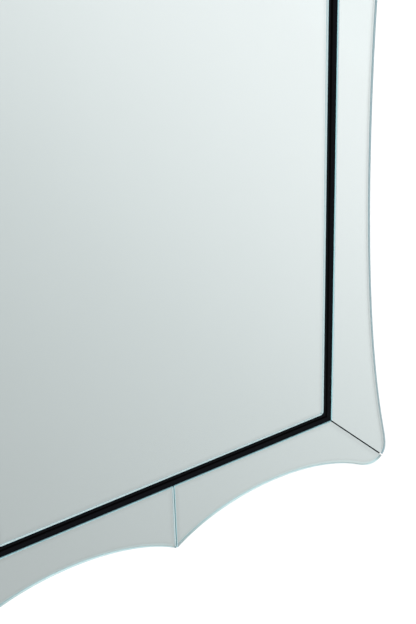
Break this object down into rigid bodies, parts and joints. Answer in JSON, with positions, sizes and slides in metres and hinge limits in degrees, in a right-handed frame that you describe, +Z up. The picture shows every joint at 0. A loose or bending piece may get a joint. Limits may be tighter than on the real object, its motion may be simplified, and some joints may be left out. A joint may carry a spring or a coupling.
{
  "type": "wall mirror",
  "caption": "Large wall mirror with a recessed black band and a mirrored border whose outer edges are hollow curves with rounded corner lobes.",
  "frame": {"origin": "middle of the hanging rail's back face, where it lies against the wall", "axes": "+Z up, +Y into the wall, +X to the viewer's right; the mirror faces -Y"},
  "size_m": [0.7856, 0.0286, 1.0886],
  "materials": {
    "mirror_glass": "polished clear glass, silvered on the back, with bare polished edges",
    "black_lacquer": "satin black lacquer",
    "board_paint": "matt black paint on fibreboard",
    "timber": "planed and left bare"
  },
  "bodies": {
    "root": {"central_mirror": "mirror_glass", "border_left": "mirror_glass", "border_right": "mirror_glass", "border_bottom_left": "mirror_glass", "border_bottom_right": "mirror_glass", "border_top_left": "mirror_glass", "border_top_right": "mirror_glass", "black_band": "black_lacquer", "backing_board": "board_paint", "hanging_rail": "timber", "spacer_rail": "timber"}
  },
  "joints": []
}
